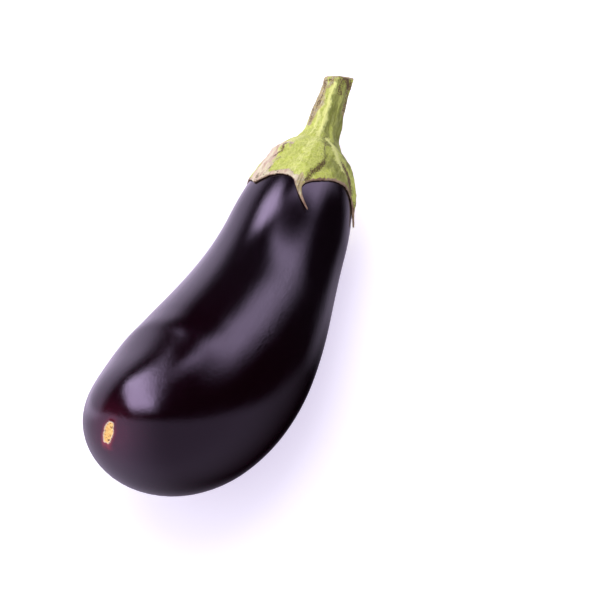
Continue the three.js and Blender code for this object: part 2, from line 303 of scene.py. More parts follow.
class EggplantColours(bpy.types.PropertyGroup):
    """The colours of the skin, the calyx and the stem"""

    skin: FloatVectorProperty(
        name="Skin", description="The dark purple of the skin", subtype="COLOR",
        default=(0.0042, 0.0017, 0.0036))
    belly: FloatVectorProperty(
        name="Belly", description="The redder dark of the belly", subtype="COLOR",
        default=(0.0045, 0.0004, 0.0021))
    blush: FloatVectorProperty(
        name="Blush", description="The red glow round the blossom scar", subtype="COLOR",
        default=(0.050, 0.0035, 0.014))
    bruise: FloatVectorProperty(
        name="Bruise", description="The red rim round the blossom scar", subtype="COLOR",
        default=(0.30, 0.012, 0.03))
    scar: FloatVectorProperty(
        name="Scar", description="The scar's golden cork", subtype="COLOR", default=(0.80, 0.42, 0.12))
    scar_pale: FloatVectorProperty(
        name="Pale scar", description="The scar's light grains", subtype="COLOR", default=(0.93, 0.62, 0.25))
    scar_speck: FloatVectorProperty(
        name="Scar speck", description="The scar's dark specks", subtype="COLOR", default=(0.16, 0.06, 0.02))
    scar_rim: FloatVectorProperty(
        name="Scar rim", description="The scar's pale torn edge", subtype="COLOR",
        default=(0.95, 0.78, 0.62))
    sheen: FloatVectorProperty(
        name="Highlight", description="The tint of the waxy highlights", subtype="COLOR",
        default=(0.93, 0.84, 1.0))
    mirrored: FloatVectorProperty(
        name="Mirrored", description="The tint of what the skin mirrors", subtype="COLOR",
        default=(0.85, 0.72, 1.0))
    green: FloatVectorProperty(
        name="Green", description="The calyx's fresh green", subtype="COLOR", default=(0.62, 0.70, 0.080))
    # The darker green of the calyx's random mottle, and of the painted shade on its right-hand side; it
    # colours no grooves.
    mottle_and_shade_green: FloatVectorProperty(
        name="Deep green", description="The green in the grooves", subtype="COLOR",
        default=(0.21, 0.235, 0.024))
    # Also the colour of the painted highlight strip beside the calyx's brown fold.
    pale_green: FloatVectorProperty(
        name="Pale green", description="The ribs' light green", subtype="COLOR", default=(0.90, 0.92, 0.34))
    fleck: FloatVectorProperty(
        name="Fleck", description="The calyx's small dark flecks", subtype="COLOR",
        default=(0.20, 0.17, 0.035))
    straw: FloatVectorProperty(
        name="Straw", description="The dry edges", subtype="COLOR", default=(0.50, 0.34, 0.24))
    dark_straw: FloatVectorProperty(
        name="Dark straw", description="The dry edges' streaks", subtype="COLOR", default=(0.27, 0.15, 0.10))
    paper: FloatVectorProperty(
        name="Paper", description="The dry papery lobe", subtype="COLOR", default=(0.95, 0.86, 0.64))
    pink_paper: FloatVectorProperty(
        name="Pink paper", description="The papery lobe's streaks", subtype="COLOR",
        default=(0.82, 0.60, 0.50))
    brown_paper: FloatVectorProperty(
        name="Brown paper", description="The fibres in those streaks", subtype="COLOR",
        default=(0.58, 0.36, 0.27))
    husk: FloatVectorProperty(
        name="Husk", description="The corky strips of the stem", subtype="COLOR", default=(0.56, 0.44, 0.20))
    cork: FloatVectorProperty(
        name="Cork", description="The brown of folds and old scars", subtype="COLOR",
        default=(0.155, 0.088, 0.035))
    wood: FloatVectorProperty(
        name="Wood", description="The stem's cut face", subtype="COLOR", default=(0.88, 0.74, 0.52))
    dark_wood: FloatVectorProperty(
        name="Dark wood", description="The cut face's pith", subtype="COLOR", default=(0.34, 0.19, 0.10))


class EggplantStage(bpy.types.PropertyGroup):
    """The camera, the light, the sky and the floor"""

    eye: FloatVectorProperty(
        name="Eye", description="Where the camera stands", default=(-0.4307, -0.2893, 0.9708),
        subtype="TRANSLATION", unit="LENGTH")
    azimuth: FloatProperty(
        name="Azimuth", description="The camera's direction round the part",
        default=math.radians(-58.93), subtype="ANGLE", unit="ROTATION")
    elevation: FloatProperty(
        name="Elevation", description="How steeply the camera looks down",
        default=math.radians(60.22), subtype="ANGLE", unit="ROTATION")
    lens: FloatProperty(name="Lens", description="The focal length in mm", default=143.5)
    floor_size: FloatProperty(
        name="Floor size", description="The side of the floor", default=8.0, unit="LENGTH")
    floor_glow: FloatProperty(
        name="Floor glow", description="How strongly the floor shines by itself", default=0.63)
    floor_dark: FloatVectorProperty(
        name="Dark floor", description="The darker grain of the floor", subtype="COLOR",
        default=(0.80, 0.80, 0.81))
    floor_light: FloatVectorProperty(
        name="Light floor", description="The lighter grain of the floor", subtype="COLOR",
        default=(0.82, 0.82, 0.83))
    shadow_tint: FloatVectorProperty(
        name="Shadow tint", description="The colour that shadows on the floor keep", subtype="COLOR",
        default=(0.84, 0.75, 1.0))
    sky: FloatProperty(name="Sky", description="How bright the sky is", default=0.80)
    sky_lean: FloatProperty(
        name="Sky lean", description="How much brighter the sky is on the left than on the right",
        default=0.8)
    sky_tint: FloatVectorProperty(
        name="Sky tint", description="The sky's colour", subtype="COLOR", default=(0.98, 0.98, 1.0))
    key_radiance: FloatProperty(
        name="Key light", description="How bright the soft key light is to look at", default=3.0)
    key_towards: FloatVectorProperty(
        name="Key direction", description="The way to the key light, in the camera's right, up and back",
        default=(-0.25, 0.8, 1.0), subtype="XYZ")
    key_distance: FloatProperty(
        name="Key distance", description="How far away the key light is", default=1.2, unit="LENGTH")
    key_side: FloatProperty(
        name="Key side", description="The side of the square key light", default=0.7, unit="LENGTH")
    key_target: FloatVectorProperty(
        name="Key target", description="What the key light points at", default=(0.0, 0.0, 0.05),
        subtype="TRANSLATION", unit="LENGTH")


def start_clean():
    """Leaves nothing selected, so that an operator acts on the new piece alone."""
    if bpy.context.object and bpy.context.object.mode != "OBJECT":
        bpy.ops.object.mode_set(mode="OBJECT")
    bpy.ops.object.select_all(action="DESELECT")


def apply_modifiers(piece):
    bpy.context.view_layer.objects.active = piece
    for modifier in list(piece.modifiers):
        bpy.ops.object.modifier_apply(modifier=modifier.name)


def smooth_step(low, high, value):
    """Goes smoothly from 0 to 1 while a value goes from low to high."""
    share = min(1.0, max(0.0, (value - low) / (high - low)))
    return share * share * (3 - 2 * share)


def bell(gap, width):
    """1 where a gap is nothing, falling off to both sides over a width."""
    return math.exp(-((gap / width) ** 2))


def layered_noise(spot, layers):
    """Noise of several layers, each with how much finer it is and its height."""
    return sum(noise.noise(spot * finer) * height for finer, height in layers)


def noise_place(along, turn, fineness, round_fineness):
    """A place to read noise at, which closes up round the piece."""
    angle = math.radians(turn)
    return Vector((along * fineness, math.cos(angle) * round_fineness, math.sin(angle) * round_fineness))


def turned_from(turn, other):
    """How far one direction is turned from another, between -180 and 180 degrees."""
    return (turn - other + 180) % 360 - 180


def turn_of(vertex):
    """A point's direction round the core in degrees, while its piece is still straight."""
    return math.degrees(math.atan2(vertex.co.z, vertex.co.y))


def point_attribute(mesh, name, values):
    """Keeps a number for every point, which a material can read."""
    attribute = mesh.attributes.new(name, "FLOAT", "POINT")
    attribute.data.foreach_set("value", values)


def core_length(sizes):
    """The length of the fruit's core line."""
    line = core_line(sizes)
    length = line.data.splines[0].calc_length()
    bpy.data.objects.remove(line)
    return length


def core_line(sizes, beyond=0.0):
    """Lays the core line as a curve, which may run straight on past the shoulder by some distance."""
    start_clean()
    bpy.ops.curve.primitive_bezier_curve_add()
    line = bpy.context.object
    line.name = "core_line"
    line.data.resolution_u = 256
    line.data.twist_mode = "Z_UP"
    line.data.use_stretch = False
    spline = line.data.splines[0]
    first, pull = Vector(sizes.blossom_end), Vector(sizes.belly_pull)
    last, reach = Vector(sizes.shoulder_end), Vector(sizes.neck_pull)
    knots = [(first - (pull - first), first, pull), (reach, last, last + (last - reach))]
    if beyond:
        third = (last - reach).normalized() * beyond / 3
        knots[1] = (reach, last, last + third)
        knots.append((last + third * 2, last + third * 3, last + third * 4))
        spline.bezier_points.add(1)
    for point, (before, place, after) in zip(spline.bezier_points, knots):
        point.handle_left_type = "FREE"
        point.handle_right_type = "FREE"
        point.co, point.handle_left, point.handle_right = place, before, after
    return line


def bend_along_core(piece, sizes, beyond=0.0):
    """Bends a piece that was modelled straight along X so that it follows the core line."""
    line = core_line(sizes, beyond)
    bend = piece.modifiers.new("bend", "CURVE")
    bend.object = line
    bend.deform_axis = "POS_X"
    apply_modifiers(piece)
    bpy.data.objects.remove(line)


def fruit_radius(sizes, length, along):
    """The fruit's radius at a distance along the core."""
    if along < sizes.belly_place:
        fall = 1 - max(0.0, along) / sizes.belly_place
        return sizes.belly_radius * math.sqrt(max(0.0, 1 - fall ** sizes.belly_roundness))
    if along < sizes.neck_place:
        span = sizes.neck_place - sizes.belly_place
        share = (along - sizes.belly_place) / span
        belly_share = 2 * share ** 3 - 3 * share ** 2 + 1
        radius = belly_share * sizes.belly_radius + (1 - belly_share) * sizes.neck_radius
        return radius - (share ** 3 - share ** 2) * sizes.neck_taper * span
    share = min(1.0, (along - sizes.neck_place) / (length - sizes.neck_place))
    neck = sizes.neck_radius - sizes.neck_taper * (along - sizes.neck_place) * (1 - share)
    return neck * math.sqrt(max(0.0, 1 - share ** sizes.shoulder_roundness))


def skin_slope(sizes, length, along):
    """How fast the fruit's radius grows along the core."""
    low, high = along - SLOPE_STEP, min(along + SLOPE_STEP, length)
    return (fruit_radius(sizes, length, high) - fruit_radius(sizes, length, low)) / (high - low)


def nearness(spot, along, turn):
    """How near a place on the skin is to the middle of a swell or scuff: 1 there, and 0 far off."""
    lengthways = (along - spot["along"]) / spot["length"]
    crossways = turned_from(turn, spot["turn"]) / spot["spread"]
    return math.exp(-(lengthways ** 2 + crossways ** 2) / 2)


def swell_at(along, turn):
    """How far the skin stands out at a distance along the core in mm and a direction in degrees."""
    return sum(swell["height"] * nearness(swell, along, turn) for swell in SWELLS)


def swell_skin(fruit):
    """Moves the straight skin out and in by its gentle swells."""
    for vertex in fruit.data.vertices:
        radius = math.hypot(vertex.co.y, vertex.co.z)
        if radius > 0:
            grown = 1 + swell_at(vertex.co.x / MM, turn_of(vertex)) * MM / radius
            vertex.co.y *= grown
            vertex.co.z *= grown


def fruit_stations(sizes, length):
    """Distances along the core for the rings, closest together round the blossom scar."""
    fine_angle, fine_rings = math.radians(0.6), 45
    coarse_rings, neck_rings, shoulder_rings = 28, 50, 34
    start = fine_rings * fine_angle
    angles = [ring * fine_angle for ring in range(1, fine_rings + 1)]
    angles += [start + (math.pi / 2 - start) * ring / coarse_rings for ring in range(1, coarse_rings + 1)]
    stations = [0.0]
    stations += [sizes.belly_place * (1 - math.cos(angle)) for angle in angles]
    for ring in range(1, neck_rings + 1):
        stations.append(sizes.belly_place + (sizes.neck_place - sizes.belly_place) * ring / neck_rings)
    for ring in range(1, shoulder_rings + 1):
        share = math.sin(math.pi / 2 * ring / shoulder_rings) ** (2 / sizes.shoulder_roundness)
        stations.append(sizes.neck_place + (length - sizes.neck_place) * share)
    return stations


def spin_fruit(sizes, length):
    """Extrudes the fruit's half outline from one point, and spins it round the core, still straight."""
    start_clean()
    bpy.ops.mesh.primitive_plane_add(size=10 * MM, location=(0, 0, 0))
    fruit = bpy.context.object
    fruit.name = "fruit_skin"
    bpy.ops.object.mode_set(mode="EDIT")
    bpy.ops.mesh.select_all(action="SELECT")
    bpy.ops.mesh.merge(type="CENTER")
    place = Vector((0, 0, 0))
    for along in fruit_stations(sizes, length)[1:]:
        step = Vector((along, 0, fruit_radius(sizes, length, along))) - place
        bpy.ops.mesh.extrude_vertices_move(TRANSFORM_OT_translate={"value": step})
        place += step
    bpy.ops.mesh.select_all(action="SELECT")
    bpy.ops.mesh.spin(steps=sizes.columns, angle=2 * math.pi, center=(0, 0, 0), axis=(1, 0, 0))
    bpy.ops.mesh.select_all(action="SELECT")
    bpy.ops.mesh.remove_doubles(threshold=0.001 * MM)
    bpy.ops.mesh.normals_make_consistent(inside=False)
    bpy.ops.object.mode_set(mode="OBJECT")
    bpy.ops.object.shade_smooth()
    return fruit


def unevenness(piece, name, strength, scale):
    """Lets a surface stray in and out a little, as a grown one does."""
    texture = bpy.data.textures.new(name, "CLOUDS")
    texture.noise_scale = scale
    texture.noise_depth = 1
    displace = piece.modifiers.new(name, "DISPLACE")
    displace.texture = texture
    displace.texture_coords = "LOCAL"
    displace.strength = strength
    displace.mid_level = 0.5
    apply_modifiers(piece)


def scar_frame(sizes, length):
    """The scar's middle, its normal and the directions of its long and short sides, on the bent fruit."""
    first, pull = Vector(sizes.blossom_end), Vector(sizes.belly_pull)
    last, reach = Vector(sizes.shoulder_end), Vector(sizes.neck_pull)
    gone = sizes.scar_place / (3 * (pull - first).length)
    left = 1 - gone
    point = left ** 3 * first + 3 * gone * left ** 2 * pull + 3 * gone ** 2 * left * reach + gone ** 3 * last
    ahead = left ** 2 * (pull - first) + 2 * gone * left * (reach - pull) + gone ** 2 * (last - reach)
    ahead.normalize()
    up = Vector((0, 0, 1))
    side = up.cross(ahead).normalized()
    top = ahead.cross(side)
    out = side * math.cos(sizes.scar_turn) + top * math.sin(sizes.scar_turn)
    normal = (out - ahead * skin_slope(sizes, length, sizes.scar_place)).normalized()
    middle = point + out * fruit_radius(sizes, length, sizes.scar_place)
    level = up.cross(normal).normalized()
    steep = normal.cross(level)
    long_side = level * math.cos(sizes.scar_slant) + steep * math.sin(sizes.scar_slant)
    return middle, normal, long_side, normal.cross(long_side)


def scar_reach(lengthways, crossways):
    """How far out a place in the scar is: 1 on its ragged edge, which is pinched at one end."""
    reach = math.hypot(lengthways, crossways)
    across, over = lengthways / max(reach, 0.1), crossways / max(reach, 0.1)
    ragged = 0.10 * noise.noise(Vector((across, over, 0.3)) * 1.9)
    ragged += 0.08 * noise.noise(Vector((across, over, 4.7)) * 5.0)
    pinch = 0.10 * math.cos(2 * math.atan2(crossways, lengthways)) ** 4 if lengthways < 0 else 0.0
    return reach * (1 + ragged + pinch)


def press_scar(fruit, sizes, length):
    """Sinks the blossom scar as an uneven dish with a low torn rim, and marks it for the material."""
    middle, normal, long_side, short_side = scar_frame(sizes, length)
    relief = SCAR_RELIEF
    scar, halo, bruise = [], [], []
    for vertex in fruit.data.vertices:
        offset = vertex.co - middle
        distance = offset.length
        halo.append(bell(distance / MM, relief["glow_spread"]))
        if distance > sizes.scar_length:
            scar.append(0.0)
            bruise.append(0.0)
            continue
        lengthways = offset.dot(long_side) / (sizes.scar_length / 2)
        crossways = offset.dot(short_side) / (sizes.scar_width / 2)
        reach = scar_reach(lengthways, crossways)
        crumb = noise.noise(vertex.co * 1400) * 0.10 + noise.noise(vertex.co * 700) * 0.14
        dish = (crumb - relief["dish"]) * (1 - smooth_step(0.55, 1.02, reach))
        rim = relief["rim"] * bell(reach - 1.02, 0.14)
        dimple = relief["dimple"] * bell(distance / MM, relief["dimple_spread"])
        vertex.co += normal * (dish + rim - dimple) * MM
        scar.append(1 - smooth_step(0.93, 1.06, reach))
        bruise.append(bell(reach - 1.1, 0.35) * (0.38 - 0.26 * math.tanh(lengthways)))
    point_attribute(fruit.data, "scar", scar)
    point_attribute(fruit.data, "halo", halo)
    point_attribute(fruit.data, "bruise", bruise)


def mark_scuffs(fruit):
    """Marks how scuffed the skin is, while it is still straight."""
    scuffs = []
    for vertex in fruit.data.vertices:
        along, turn = vertex.co.x / MM, turn_of(vertex)
        scuffs.append(max(nearness(scuff, along, turn) for scuff in SCUFFS))
    point_attribute(fruit.data, "scuff", scuffs)


def settle_on_floor(piece):
    """Flattens what would reach below the floor, as the CAD solid's flat spot does."""
    for vertex in piece.data.vertices:
        vertex.co.z = max(vertex.co.z, 0.0)


def keep_straight_place(piece):
    """Keeps where every point is while the piece is still straight, for patterns that follow it."""
    values = [number for vertex in piece.data.vertices for number in vertex.co]
    attribute = piece.data.attributes.new("straight_place", "FLOAT_VECTOR", "POINT")
    attribute.data.foreach_set("vector", values)


def stem_radius(rise):
    """The stem's radius at a distance above the top of the shoulder, both in mm: a smooth curve through
    the stations."""
    stations = STEM_STATIONS
    if rise <= stations[0][0]:
        return stations[0][1]
    for n in range(len(stations) - 1):
        low, high = stations[n], stations[n + 1]
        if rise <= high[0]:
            before = stations[max(n - 1, 0)]
            after = stations[min(n + 2, len(stations) - 1)]
            span = high[0] - low[0]
            slope_low = (high[1] - before[1]) / (high[0] - before[0])
            slope_high = (after[1] - low[1]) / (after[0] - low[0])
            share = (rise - low[0]) / span
            low_share = 2 * share ** 3 - 3 * share ** 2 + 1
            radius = low_share * low[1] + (1 - low_share) * high[1]
            radius += (share ** 3 - 2 * share ** 2 + share) * span * slope_low
            return radius + (share ** 3 - share ** 2) * span * slope_high
    return stations[-1][1]


def calyx_column(sizes, lobe, turn, bay, bay_turn):
    """A strip of the calyx between a lobe's tip and a bay: its direction, and how far back it reaches."""
    off = turn - lobe["turn"]
    share = abs(off) / abs(bay_turn - lobe["turn"])
    body = bay["reach"] + (lobe["reach"] - bay["reach"]) * (1 - share) ** sizes.bay_sharpness
    half_width = math.degrees(sizes.thread_half_width)
    thin, broad = bell(off, 0.85 * half_width), bell(off, 2.3 * half_width)
    tatter = noise.noise(Vector((turn * 0.55, 1.7, 0.0)))
    tatter += 0.6 * noise.noise(Vector((turn * 1.5, 8.2, 0.0)))
    reach = body + lobe["thread"] * (0.62 * thin + 0.38 * broad) + tatter * sizes.tatter / MM * (1 - thin)
    return {"turn": turn, "reach": reach, "lobe": lobe, "share": share}


def calyx_columns(sizes):
    """The strips of the calyx all round the fruit, close together at each lobe's tip."""
    half_width = math.degrees(sizes.thread_half_width)
    near = [half_width * share for share in (0.2, 0.4, 0.6, 0.8, 1.0, 1.25, 1.5, 1.8, 2.1)]
    far_start = 2.5 * half_width
    far_strips = 23
    columns = []
    for n, lobe in enumerate(LOBES):
        before, after = BAYS[n - 1], BAYS[n]
        before_turn = before["turn"] - 360 if before["turn"] > lobe["turn"] else before["turn"]
        for bay, bay_turn, side in ((before, before_turn, -1), (after, after["turn"], 1)):
            wide = abs(bay_turn - lobe["turn"])
            far = [far_start + (wide - far_start) * strip / far_strips for strip in range(far_strips)]
            turns = [lobe["turn"] + side * offset for offset in near + far]
            if side < 0:
                turns = [*reversed(turns), lobe["turn"]]
            else:
                turns.append(bay_turn)
            columns += [calyx_column(sizes, lobe, turn, bay, bay_turn) for turn in turns]
    return columns


def path_at(path, back, turn, radius):
    """How far a place on the calyx or stem is from a path, in mm, and how far along the path that is."""
    best, place = math.inf, 0.0
    round_mm = math.radians(1) * radius
    for n in range(len(path) - 1):
        (back_a, turn_a), (back_b, turn_b) = path[n], path[n + 1]
        stretch = Vector((back_b - back_a, (turn_b - turn_a) * round_mm))
        spot = Vector((back - back_a, turned_from(turn, turn_a) * round_mm))
        share = min(1.0, max(0.0, spot.dot(stretch) / stretch.length_squared))
        gap = (spot - stretch * share).length
        if gap < best:
            best, place = gap, (n + share) / (len(path) - 1)
    return best, place


def relief_at(back, turn, radius):
    """The height of the folds at a place on the calyx or stem, in mm."""
    height = 0.0
    for fold in FOLDS:
        gap, place = path_at(fold["path"], back, turn, radius)
        if gap < PATH_REACH * fold["width"]:
            fade = smooth_step(0, 0.15, place) * (1 - 0.5 * smooth_step(0.85, 1, place))
            height += fold["height"] * bell(gap, fold["width"]) * fade
    return height


def patches_at(back, turn, radius):
    """How strong each colour's patches are at a place on the calyx or stem."""
    strengths = dict.fromkeys(PATCHES, 0.0)
    for colour, patches in PATCHES.items():
        for patch in patches:
            gap, _ = path_at(patch["path"], back, turn, radius)
            if gap < PATH_REACH * patch["width"]:
                strength = patch["strength"] * bell(gap, patch["width"])
                strengths[colour] = max(strengths[colour], strength)
    return strengths


def calyx_rings():
    """The rings of the calyx and stem, from the middle of the hollow out to the edge and up to the cut:
    each is the name of a stretch and a share of it."""
    inner_rings, edge_rings, cap_rings, stem_rings, cut_rings = 10, 2, 66, 80, 6
    rings = [("inner", (n / inner_rings) ** 1.5) for n in range(1, inner_rings + 1)]
    rings += [("edge", n / (edge_rings + 1)) for n in range(1, edge_rings + 1)]
    rings += [("cap", 1 - n / cap_rings) for n in range(cap_rings + 1)]
    rings += [("stem", n / stem_rings) for n in range(stem_rings + 1)]
    rings += [("cut", 1 - n / (cut_rings + 1)) for n in range(1, cut_rings + 1)]
    return rings


class CalyxShape:
    """Works out the points of the calyx and stem, which are still straight. Points are in metres, and
    distances back from the top of the shoulder, rises above it and heights above the skin in mm."""

    # Where the outside of the leaf gives way to the stem, back from the top of the shoulder.
    cap_start = 4
    # How far the tip of a thread stands off the skin, and a loose stretch of the edge.
    thread_lift = 0.6
    edge_lift = 0.35
    # How far the leaf's edge is rounded out.
    edge_round = 0.2
    # How far below the cut the stem starts to turn to bare wood, and where it is all wood.
    wood_start = 1.5
    wood_full = 0.5
    # How deep the cut face sinks inside its edge, and in its very middle.
    cut_sink = 0.45
    cut_middle_sink = 0.5
    # How steeply the cut's slant fades down the stem.
    slant_fade = 6

    def __init__(self, fruit_sizes, sizes, length):
        self.fruit = fruit_sizes
        self.sizes = sizes
        self.length = length
        self.gap = sizes.gap / MM
        self.edge_thickness = sizes.edge_thickness / MM
        self.crown_thickness = sizes.crown_thickness / MM
        self.stem_length = sizes.stem_length / MM

    def over_shoulder(self, back, turn, height):
        """A point above the fruit's shoulder: a distance back from its top, a direction and a height."""
        along = self.length - back * MM
        slope = skin_slope(self.fruit, self.length, along)
        size = math.hypot(slope, 1)
        radius = fruit_radius(self.fruit, self.length, along) + height * MM / size
        radius += swell_at(along / MM, turn) * MM
        along -= height * MM * slope / size
        angle = math.radians(turn)
        return Vector((along, radius * math.cos(angle), radius * math.sin(angle)))

    def curled(self, column, back):
        """The direction of a place in a strip, turned by its thread's curl, and how far out on the thread
        the place is."""
        lobe = column["lobe"]
        thread = min(1.0, max(0.0, back - lobe["reach"]) / max(1, lobe["thread"]))
        return column["turn"] + lobe["curl"] * thread ** 1.5, thread

    def rib(self, column):
        """How far the rib in the middle of a lobe stands out in a strip."""
        return self.sizes.rib_height / MM * (1 - column["share"]) ** 2

    def dryness(self, column, back, turn):
        """How dry the leaf is: at its margin, which is widest in one direction, and out on its threads."""
        margin = 0.9 + 1.5 * bell(turn - 80, 13) + 0.6 * noise.noise(Vector((turn * 0.2, 0, 5)))
        dry = 1 - smooth_step(0.6 * margin, 1.7 * margin, column["reach"] - back)
        tip = column["lobe"]["reach"]
        return max(dry, smooth_step(tip - 4, tip + 1, back))

    def marks(self, back, turn, radius, dry=0.0, cut=0.0):
        """What the material reads at a place, with the patches' outlines astray as grown ones are."""
        spot = noise_place(back, turn, 0.22, radius * 0.3)
        stray = noise.noise_vector(spot) * 0.9 + noise.noise_vector(spot * 3.3) * 0.45
        astray = turn + math.degrees(stray.y / radius)
        return {"dry": dry, "cut": cut, **patches_at(back + stray.x, astray, radius)}

    def inner_point(self, share, column):
        """A point in the hollow that lies over the shoulder."""
        back = column["reach"] * share
        turn, thread = self.curled(column, back)
        return self.over_shoulder(back, turn, self.gap + self.thread_lift * thread ** 2), {"dry": 1.0}

    def edge_point(self, share, column):
        """A point on the leaf's edge."""
        back = column["reach"] + self.edge_round * math.sin(math.pi * share)
        turn, thread = self.curled(column, column["reach"])
        height = self.gap + self.edge_thickness * share + self.thread_lift * thread ** 2
        return self.over_shoulder(back, turn, height), {"dry": 1.0}

    def cap_point(self, share, column):
        """A point on the leaf's outside, with its rib, folds, waves and loose edge."""
        back = self.cap_start + (column["reach"] - self.cap_start) * share
        near_edge = column["reach"] - back
        turn, thread = self.curled(column, back)
        radius = fruit_radius(self.fruit, self.length, self.length - back * MM) / MM
        wave = layered_noise(noise_place(back, turn, 0.12, 3.2), CALYX_WAVES)
        relief = relief_at(back, turn, radius) + wave * smooth_step(0, 0.4, share)
        height = self.gap + self.edge_thickness
        height += (self.crown_thickness - self.edge_thickness) * (1 - share) ** 2
        height += self.rib(column) * (1 - 0.6 * share) + relief * smooth_step(-0.2, 2.2, near_edge)
        loose = max(0.0, noise.noise(Vector((turn * 0.11, 3.3, 0))))
        height += self.edge_lift * loose * (1 - smooth_step(0, 4, near_edge))
        height += self.thread_lift * thread ** 2
        height = max(height, self.gap + 0.4 * self.edge_thickness)
        marks = self.marks(back, turn, radius, dry=self.dryness(column, back, turn))
        return self.over_shoulder(back, turn, height), marks

    def round_stem(self, rise, column, squeeze=1.0, crumb=0.0):
        """A point round the stem at a rise, with its ribs, grooves and slant. The cut's rings are squeezed
        towards the middle, and crumbs move them up and down."""
        turn = column["turn"]
        angle = math.radians(turn)
        wobble = layered_noise(noise_place(rise, turn, 0.09, 1.6), STEM_WAVES)
        wobble *= 1 + 0.4 * smooth_step(self.stem_length - 7, self.stem_length, rise)
        groove = 0.16 * math.cos(math.radians(turn * 10 + 40)) * smooth_step(4, 12, rise)
        radius = stem_radius(rise) + self.rib(column) * 1.2 + wobble + groove
        radius = (radius + relief_at(-rise, turn, stem_radius(rise))) * squeeze
        rise += crumb
        fall = math.tan(self.sizes.cut_slant) * radius * math.cos(angle - self.sizes.cut_low_turn)
        aslant = fall * (rise / self.stem_length) ** self.slant_fade
        along = self.length + (rise - aslant) * MM
        return Vector((along, radius * MM * math.cos(angle), radius * MM * math.sin(angle)))

    def stem_point(self, share, column):
        """A point on the stem's outside."""
        start = STEM_STATIONS[0][0]
        rise = start + (self.stem_length - start) * share
        cut = smooth_step(self.stem_length - self.wood_start, self.stem_length - self.wood_full, rise)
        marks = self.marks(-rise, column["turn"], stem_radius(rise), cut=cut)
        return self.round_stem(rise, column), marks

    def cut_point(self, share, column):
        """A point on the crumbly cut face."""
        rise = self.stem_length - self.cut_sink * math.sin(math.pi / 2 * (1 - share))
        angle = math.radians(column["turn"])
        spot = Vector((math.cos(angle) * share * 3, math.sin(angle) * share * 3, 9.1))
        crumb = noise.noise(spot) * 0.5
        marks = self.marks(-(rise + crumb), column["turn"], stem_radius(rise + crumb), cut=1.0)
        return self.round_stem(rise, column, share, crumb), marks

    def point(self, stretch, share, column):
        """A point of a strip, and its marks for the material."""
        makers = {
            "inner": self.inner_point,
            "edge": self.edge_point,
            "cap": self.cap_point,
            "stem": self.stem_point,
            "cut": self.cut_point,
        }
        return makers[stretch](share, column)


def grow_calyx(fruit_sizes, sizes, length):
    """Starts from a sphere whose rings become the calyx's hollow, edge and outside, the stem and its cut."""
    noise.seed_set(PATCH_SEED)
    shape = CalyxShape(fruit_sizes, sizes, length)
    columns = calyx_columns(sizes)
    rings = calyx_rings()
    start_clean()
    bpy.ops.mesh.primitive_uv_sphere_add(segments=len(columns), ring_count=len(rings) + 1, radius=1)
    calyx = bpy.context.object
    calyx.name = "calyx_with_stem"
    marks = []
    for vertex in calyx.data.vertices:
        place = vertex.co.normalized()
        ring = round(math.acos(max(-1.0, min(1.0, place.z))) / math.pi * (len(rings) + 1))
        column = round(math.atan2(place.y, place.x) / (2 * math.pi) * len(columns)) % len(columns)
        if ring == 0:
            vertex.co = (length + sizes.gap, 0, 0)
            marks.append({"dry": 1.0})
        elif ring == len(rings) + 1:
            vertex.co = (length + sizes.stem_length - shape.cut_middle_sink * MM, 0, 0)
            marks.append({"cut": 1.0})
        else:
            stretch, share = rings[ring - 1]
            vertex.co, mark = shape.point(stretch, share, columns[column])
            marks.append(mark)
    for name in ("dry", "cut", *PATCHES):
        point_attribute(calyx.data, name, [mark.get(name, 0.0) for mark in marks])
    bpy.ops.object.mode_set(mode="EDIT")
    bpy.ops.mesh.select_all(action="SELECT")
    bpy.ops.mesh.normals_make_consistent(inside=False)
    bpy.ops.object.mode_set(mode="OBJECT")
    bpy.ops.object.shade_smooth()
    return calyx


def new_material(name):
    """A new material, its node tree and its Principled BSDF."""
    material = bpy.data.materials.new(name)
    material.use_nodes = True
    tree = material.node_tree
    return material, tree, tree.nodes["Principled BSDF"]


def add_node(tree, kind, **values):
    """Adds a node, and sets its sockets by name or its own settings."""
    node = tree.nodes.new(kind)
    for name, value in values.items():
        if name in node.inputs:
            node.inputs[name].default_value = value
        else:
            setattr(node, name, value)
    return node


def mottle_group():
    """A shader node group: soft patches at a coarse and a fine scale, as one mask."""
    found = bpy.data.node_groups.get("Mottle")
    if found:
        return found
    group = bpy.data.node_groups.new("Mottle", "ShaderNodeTree")
    face = group.interface
    face.new_socket("Vector", in_out="INPUT", socket_type="NodeSocketVector")
    for name, value in (("Scale", 100.0), ("Low", 0.35), ("High", 0.65)):
        socket = face.new_socket(name, in_out="INPUT", socket_type="NodeSocketFloat")
        socket.default_value = value
    face.new_socket("Mask", in_out="OUTPUT", socket_type="NodeSocketFloat")
    start = group.nodes.new("NodeGroupInput")
    end = group.nodes.new("NodeGroupOutput")
    patches = add_node(group, "ShaderNodeTexNoise", Detail=5.0, Roughness=0.6)
    limits = add_node(group, "ShaderNodeMapRange", interpolation_type="SMOOTHSTEP")
    group.links.new(start.outputs["Vector"], patches.inputs["Vector"])
    group.links.new(start.outputs["Scale"], patches.inputs["Scale"])
    group.links.new(patches.outputs["Fac"], limits.inputs["Value"])
    group.links.new(start.outputs["Low"], limits.inputs["From Min"])
    group.links.new(start.outputs["High"], limits.inputs["From Max"])
    group.links.new(limits.outputs["Result"], end.inputs["Mask"])
    return group


def add_mottle(tree, vector, scale, low, high):
    """Places the mottle group, and gives its mask."""
    node = tree.nodes.new("ShaderNodeGroup")
    node.node_tree = mottle_group()
    node.inputs["Scale"].default_value = scale
    node.inputs["Low"].default_value = low
    node.inputs["High"].default_value = high
    tree.links.new(vector, node.inputs["Vector"])
    return node.outputs["Mask"]


